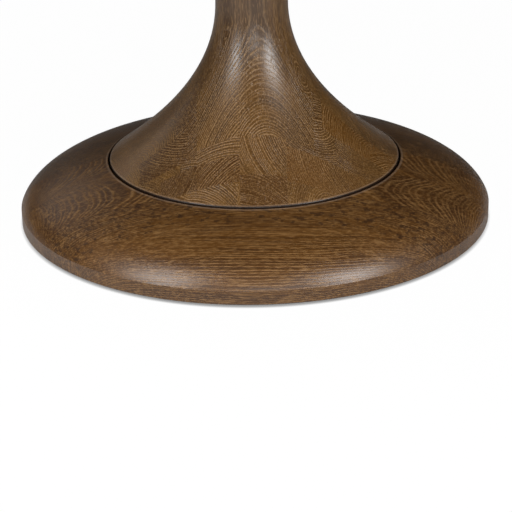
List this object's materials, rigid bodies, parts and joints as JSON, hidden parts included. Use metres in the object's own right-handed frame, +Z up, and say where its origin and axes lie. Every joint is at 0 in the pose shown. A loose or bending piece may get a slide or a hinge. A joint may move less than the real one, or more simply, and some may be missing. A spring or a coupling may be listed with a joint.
{
  "type": "round pedestal table",
  "caption": "Round dining table: thick round oak top on a turned hourglass pedestal whose trumpet foot stands in a wide domed disc base, on screw-out levelling feet.",
  "frame": {"origin": "on the floor under the middle of the table", "axes": "+Z up along the pedestal's axis; +X along the grain of the top's and the base's boards, to the right in the main view; +Y away from it"},
  "size_m": [1.5238, 1.5238, 0.762],
  "materials": {
    "top_oak": "satin lacquer on smoked oak",
    "pedestal_oak": "satin lacquer on smoked oak, turned",
    "base_oak": "satin lacquer on smoked oak",
    "plywood": "bare birch plywood",
    "beech": "bare beech",
    "black_steel": "fine black powder coat",
    "black_zinc": "black zinc",
    "zinc_steel": "bright zinc plate",
    "nylon": "dark brown nylon"
  },
  "bodies": {
    "root": {"base_disc": "base_oak", "pedestal": "pedestal_oak", "tabletop": "top_oak", "foot_block": "plywood", "head_block": "plywood", "foot_inserts": "zinc_steel", "registration_dowels": "beech", "tabletop_inserts": "zinc_steel", "stiffener_channel_left": "black_steel", "stiffener_channel_right": "black_steel", "channel_screws": "zinc_steel", "mounting_plate": "black_steel", "head_screws": "zinc_steel", "top_bolt_washers": "black_zinc", "top_bolts": "black_zinc", "base_plate": "black_steel", "base_plate_screws": "zinc_steel", "base_bolt_washers": "zinc_steel", "base_bolts": "zinc_steel", "tie_rod": "zinc_steel", "tie_rod_top_washer": "zinc_steel", "tie_rod_top_nut": "zinc_steel", "tie_rod_bottom_washer": "zinc_steel", "tie_rod_bottom_nut": "zinc_steel", "leveller_inserts": "zinc_steel"},
    "leveller_pad_1": {"leveller_pad_1": "nylon"},
    "leveller_stud_1": {"leveller_stud_1": "zinc_steel"},
    "leveller_pad_2": {"leveller_pad_2": "nylon"},
    "leveller_stud_2": {"leveller_stud_2": "zinc_steel"},
    "leveller_pad_3": {"leveller_pad_3": "nylon"},
    "leveller_stud_3": {"leveller_stud_3": "zinc_steel"},
    "leveller_pad_4": {"leveller_pad_4": "nylon"},
    "leveller_stud_4": {"leveller_stud_4": "zinc_steel"},
    "leveller_pad_5": {"leveller_pad_5": "nylon"},
    "leveller_stud_5": {"leveller_stud_5": "zinc_steel"},
    "leveller_pad_6": {"leveller_pad_6": "nylon"},
    "leveller_stud_6": {"leveller_stud_6": "zinc_steel"}
  },
  "joints": [
    {"name": "leveller_1_travel", "type": "slide", "parent": "root", "child": "leveller_pad_1", "axis": [0, 0, -1], "range_m": [0, 0.012]},
    {"name": "leveller_1_turn", "type": "hinge", "parent": "leveller_pad_1", "child": "leveller_stud_1", "pos_m": [0.395, 0, 0.0065], "axis": [0, 0, -1], "range_deg": [0, 3456]},
    {"name": "leveller_2_travel", "type": "slide", "parent": "root", "child": "leveller_pad_2", "axis": [0, 0, -1], "range_m": [0, 0.012]},
    {"name": "leveller_2_turn", "type": "hinge", "parent": "leveller_pad_2", "child": "leveller_stud_2", "pos_m": [0.1975, 0.34208, 0.0065], "axis": [0, 0, -1], "range_deg": [0, 3456]},
    {"name": "leveller_3_travel", "type": "slide", "parent": "root", "child": "leveller_pad_3", "axis": [0, 0, -1], "range_m": [0, 0.012]},
    {"name": "leveller_3_turn", "type": "hinge", "parent": "leveller_pad_3", "child": "leveller_stud_3", "pos_m": [-0.1975, 0.34208, 0.0065], "axis": [0, 0, -1], "range_deg": [0, 3456]},
    {"name": "leveller_4_travel", "type": "slide", "parent": "root", "child": "leveller_pad_4", "axis": [0, 0, -1], "range_m": [0, 0.012]},
    {"name": "leveller_4_turn", "type": "hinge", "parent": "leveller_pad_4", "child": "leveller_stud_4", "pos_m": [-0.395, 0, 0.0065], "axis": [0, 0, -1], "range_deg": [0, 3456]},
    {"name": "leveller_5_travel", "type": "slide", "parent": "root", "child": "leveller_pad_5", "axis": [0, 0, -1], "range_m": [0, 0.012]},
    {"name": "leveller_5_turn", "type": "hinge", "parent": "leveller_pad_5", "child": "leveller_stud_5", "pos_m": [-0.1975, -0.34208, 0.0065], "axis": [0, 0, -1], "range_deg": [0, 3456]},
    {"name": "leveller_6_travel", "type": "slide", "parent": "root", "child": "leveller_pad_6", "axis": [0, 0, -1], "range_m": [0, 0.012]},
    {"name": "leveller_6_turn", "type": "hinge", "parent": "leveller_pad_6", "child": "leveller_stud_6", "pos_m": [0.1975, -0.34208, 0.0065], "axis": [0, 0, -1], "range_deg": [0, 3456]}
  ],
  "couplings": [
    {"joint": "leveller_1_turn", "follows": "leveller_1_travel", "rad_per_m": 5026.5},
    {"joint": "leveller_2_turn", "follows": "leveller_2_travel", "rad_per_m": 5026.5},
    {"joint": "leveller_3_turn", "follows": "leveller_3_travel", "rad_per_m": 5026.5},
    {"joint": "leveller_4_turn", "follows": "leveller_4_travel", "rad_per_m": 5026.5},
    {"joint": "leveller_5_turn", "follows": "leveller_5_travel", "rad_per_m": 5026.5},
    {"joint": "leveller_6_turn", "follows": "leveller_6_travel", "rad_per_m": 5026.5}
  ]
}
